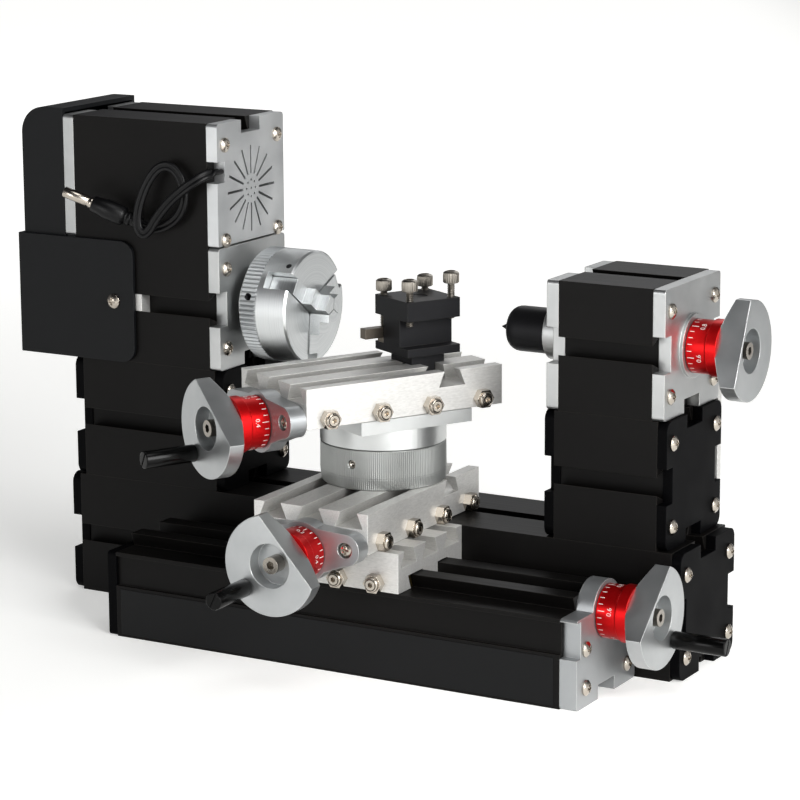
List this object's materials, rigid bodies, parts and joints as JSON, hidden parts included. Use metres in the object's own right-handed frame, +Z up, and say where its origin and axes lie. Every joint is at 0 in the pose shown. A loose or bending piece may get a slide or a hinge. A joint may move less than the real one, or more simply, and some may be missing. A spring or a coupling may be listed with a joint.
{
  "type": "mini lathe",
  "caption": "Modular mini lathe on square black profiles with a belt-driven chuck, a tailstock, two cranked cross slides and a swivelling top slide with a tool post.",
  "frame": {"origin": "middle of the main bed's underside, in the mouth of its groove", "axes": "+X along the spindle from the headstock to the tailstock, +Y away from the operator, +Z up"},
  "size_m": [0.3268, 0.1625, 0.2024],
  "materials": {
    "black_profile": "black anodised, fine bead-blasted",
    "black_plate": "black moulded plastic",
    "black_cover": "satin black moulded plastic",
    "zinc_plate": "silver painted die casting",
    "bright_table": "satin milled",
    "cast_bracket": "silver painted die casting",
    "steel_bright": "turned",
    "steel_screw": "nickel plated",
    "gib_brass": "plain",
    "strip": "satin",
    "bearing_steel": "ground",
    "motor_can": "zinc plated",
    "belt_rubber": "matte",
    "lead_rubber": "satin PVC",
    "plug_black": "satin",
    "dial_red": "red anodised with white marks",
    "wheel_silver": "satin painted",
    "grip_black": "glossy",
    "quill_black": "blackened, semi-gloss",
    "post_black": "black oxide",
    "bit_steel": "ground tool steel",
    "ring_silver": "satin"
  },
  "bodies": {
    "frame": {"main_bed": "black_profile", "risers": "black_profile", "black_end_plates": "black_plate", "headstock_body": "black_profile", "headstock_plates": "zinc_plate", "motor_vent_plate": "zinc_plate", "tailstock_body": "black_profile", "tailstock_left_plate": "zinc_plate", "tailstock_right_plate": "zinc_plate", "rear_strip": "strip", "groove_connectors": "strip", "frame_screws": "steel_screw", "long_bed": "black_profile", "long_bracket": "cast_bracket", "spindle_bearings": "bearing_steel", "motor": "motor_can", "drive_belt": "belt_rubber", "belt_cover": "black_cover", "belt_guard": "black_cover", "power_lead": "lead_rubber", "power_plug": "plug_black"},
    "spindle": {"spindle": "steel_bright", "chuck_body": "steel_bright"},
    "scroll": {"scroll_ring": "steel_bright"},
    "jaw_1": {"chuck_jaw_1": "steel_bright"},
    "jaw_2": {"chuck_jaw_2": "steel_bright"},
    "jaw_3": {"chuck_jaw_3": "steel_bright"},
    "motor_shaft": {"motor_pulley": "wheel_silver"},
    "quill": {"quill": "quill_black"},
    "tail_crank": {"tail_leadscrew": "steel_screw", "tail_dial": "dial_red", "tail_wheel": "wheel_silver"},
    "long_crank": {"long_leadscrew": "steel_screw", "long_dial": "dial_red", "long_wheel": "wheel_silver"},
    "long_grip": {"long_grip": "grip_black"},
    "saddle": {"saddle": "bright_table", "saddle_gib": "gib_brass", "saddle_screws": "steel_screw"},
    "cross_slide": {"cross_table": "bright_table", "cross_gib": "gib_brass", "cross_screws": "steel_screw", "cross_bracket": "cast_bracket", "swivel_ring": "ring_silver"},
    "cross_crank": {"cross_leadscrew": "steel_screw", "cross_dial": "dial_red", "cross_wheel": "wheel_silver"},
    "cross_grip": {"cross_grip": "grip_black"},
    "swivel": {"swivel_disc": "ring_silver"},
    "top_slide": {"top_table": "bright_table", "top_gib": "gib_brass", "top_screws": "steel_screw", "top_bracket": "cast_bracket", "tool_post": "post_black", "tool_bit": "bit_steel", "clamp_screws": "steel_screw"},
    "top_crank": {"top_leadscrew": "steel_screw", "top_dial": "dial_red", "top_wheel": "wheel_silver"},
    "top_grip": {"top_grip": "grip_black"}
  },
  "joints": [
    {"name": "spindle_turn", "type": "hinge", "parent": "frame", "child": "spindle", "pos_m": [0, 0, 0.125], "axis": [1, 0, 0], "continuous": true},
    {"name": "motor_turn", "type": "hinge", "parent": "frame", "child": "motor_shaft", "pos_m": [-0.13, 0, 0.1715], "axis": [1, 0, 0], "continuous": true},
    {"name": "scroll_turn", "type": "hinge", "parent": "spindle", "child": "scroll", "pos_m": [-0.053, 0, 0.125], "axis": [1, 0, 0], "range_deg": [0, 720]},
    {"name": "jaw_1_slide", "type": "slide", "parent": "spindle", "child": "jaw_1", "axis": [0, 0.91, 0.4147], "range_m": [0, 0.006]},
    {"name": "jaw_2_slide", "type": "slide", "parent": "spindle", "child": "jaw_2", "axis": [0, -0.8141, 0.5807], "range_m": [0, 0.006]},
    {"name": "jaw_3_slide", "type": "slide", "parent": "spindle", "child": "jaw_3", "axis": [0, -0.0958, -0.9954], "range_m": [0, 0.006]},
    {"name": "saddle_slide", "type": "slide", "parent": "frame", "child": "saddle", "axis": [1, 0, 0], "range_m": [-0.02, 0.015]},
    {"name": "long_crank_turn", "type": "hinge", "parent": "frame", "child": "long_crank", "pos_m": [0.1205, -0.05, 0.0326], "axis": [1, 0, 0], "range_deg": [-7200, 5400]},
    {"name": "long_grip_turn", "type": "hinge", "parent": "long_crank", "child": "long_grip", "pos_m": [0.155, -0.04049, 0.02192], "axis": [1, 0, 0], "continuous": true},
    {"name": "cross_slide_move", "type": "slide", "parent": "saddle", "child": "cross_slide", "axis": [0, 1, 0], "range_m": [-0.04, 0.002]},
    {"name": "cross_crank_turn", "type": "hinge", "parent": "cross_slide", "child": "cross_crank", "pos_m": [0.0117, -0.1, 0.05], "axis": [0, 1, 0], "range_deg": [-14400, 720]},
    {"name": "cross_grip_turn", "type": "hinge", "parent": "cross_crank", "child": "cross_grip", "pos_m": [0.00104, -0.12, 0.04047], "axis": [0, 1, 0], "continuous": true},
    {"name": "swivel_turn", "type": "hinge", "parent": "cross_slide", "child": "swivel", "pos_m": [0.0117, -0.0265, 0.083], "axis": [0, 0, 1], "range_deg": [-30, 30]},
    {"name": "top_slide_move", "type": "slide", "parent": "swivel", "child": "top_slide", "axis": [0.4772, 0.8788, 0], "range_m": [-0.02, 0.012]},
    {"name": "top_crank_turn", "type": "hinge", "parent": "top_slide", "child": "top_crank", "pos_m": [-0.0217, -0.08802, 0.0949], "axis": [0.4772, 0.8788, 0], "range_deg": [-7200, 4320]},
    {"name": "top_grip_turn", "type": "hinge", "parent": "top_crank", "child": "top_grip", "pos_m": [-0.04389, -0.11011, 0.08376], "axis": [0.4772, 0.8788, 0], "continuous": true},
    {"name": "quill_slide", "type": "slide", "parent": "frame", "child": "quill", "axis": [1, 0, 0], "range_m": [-0.015, 0.006]},
    {"name": "tail_crank_turn", "type": "hinge", "parent": "frame", "child": "tail_crank", "pos_m": [0.14, 0, 0.125], "axis": [1, 0, 0], "range_deg": [-5400, 2160]}
  ],
  "couplings": [
    {"joint": "motor_turn", "follows": "spindle_turn", "ratio": 2.6667},
    {"joint": "long_crank_turn", "follows": "saddle_slide", "rad_per_m": 6283.2},
    {"joint": "cross_crank_turn", "follows": "cross_slide_move", "rad_per_m": 6283.2},
    {"joint": "top_crank_turn", "follows": "top_slide_move", "rad_per_m": 6283.2},
    {"joint": "tail_crank_turn", "follows": "quill_slide", "rad_per_m": 6283.2},
    {"joint": "jaw_1_slide", "follows": "scroll_turn", "m_per_rad": 0.000477},
    {"joint": "jaw_2_slide", "follows": "scroll_turn", "m_per_rad": 0.000477},
    {"joint": "jaw_3_slide", "follows": "scroll_turn", "m_per_rad": 0.000477}
  ]
}
